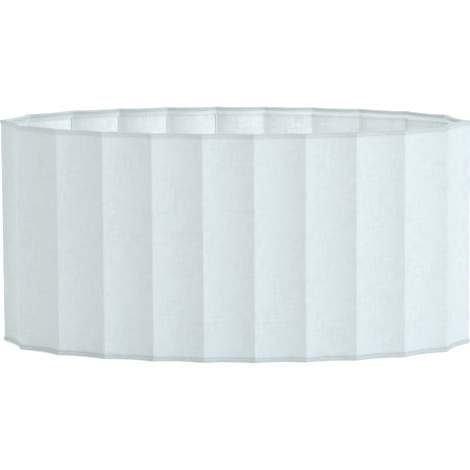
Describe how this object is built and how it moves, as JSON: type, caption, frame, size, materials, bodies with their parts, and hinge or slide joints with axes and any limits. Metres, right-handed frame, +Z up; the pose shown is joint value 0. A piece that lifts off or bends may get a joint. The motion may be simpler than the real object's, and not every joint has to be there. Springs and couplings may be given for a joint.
{
  "type": "oval fluted lamp shade",
  "caption": "Oval drum lamp shade with straight fluted walls, sharp ridges, rolled edges, a ribbed wire frame and a recessed spider fitter.",
  "frame": {"origin": "middle of the bottom edge's plane, on the shade's upright axis", "axes": "+Z up, X along the oval's long way, Y across it; the front faces -Y"},
  "size_m": [0.4548, 0.2006, 0.2175],
  "materials": {
    "linen_white": "slubby plain-weave linen",
    "linen_edge_white": "the same linen, rolled and pressed",
    "lining_white": "matt white styrene sheet",
    "wire_white_coated": "white powder coat on steel wire",
    "fitter_white_coated": "white powder coat on pressed steel",
    "reducer_white_plastic": "moulded white plastic"
  },
  "bodies": {
    "shade": {"linen_cover": "linen_white", "stiff_lining": "lining_white", "top_rolled_edge": "linen_edge_white", "bottom_rolled_edge": "linen_edge_white", "top_ring_wire": "wire_white_coated", "bottom_ring_wire": "wire_white_coated", "rib_01": "wire_white_coated", "rib_02": "wire_white_coated", "rib_03": "wire_white_coated", "rib_04": "wire_white_coated", "rib_05": "wire_white_coated", "rib_06": "wire_white_coated", "rib_07": "wire_white_coated", "rib_08": "wire_white_coated", "rib_09": "wire_white_coated", "rib_10": "wire_white_coated", "rib_11": "wire_white_coated", "rib_12": "wire_white_coated", "rib_13": "wire_white_coated", "rib_14": "wire_white_coated", "rib_15": "wire_white_coated", "rib_16": "wire_white_coated", "rib_17": "wire_white_coated", "rib_18": "wire_white_coated", "rib_19": "wire_white_coated", "rib_20": "wire_white_coated", "rib_21": "wire_white_coated", "rib_22": "wire_white_coated", "spider_arm_1": "wire_white_coated", "spider_arm_2": "wire_white_coated", "spider_arm_3": "wire_white_coated", "spider_arm_4": "wire_white_coated", "fitter_ring": "fitter_white_coated"},
    "reducer": {"reducer_ring": "reducer_white_plastic"}
  },
  "joints": [
    {"name": "reducer_lift", "type": "slide", "parent": "shade", "child": "reducer", "axis": [0, 0, 1], "range_m": [0, 0.045]}
  ]
}
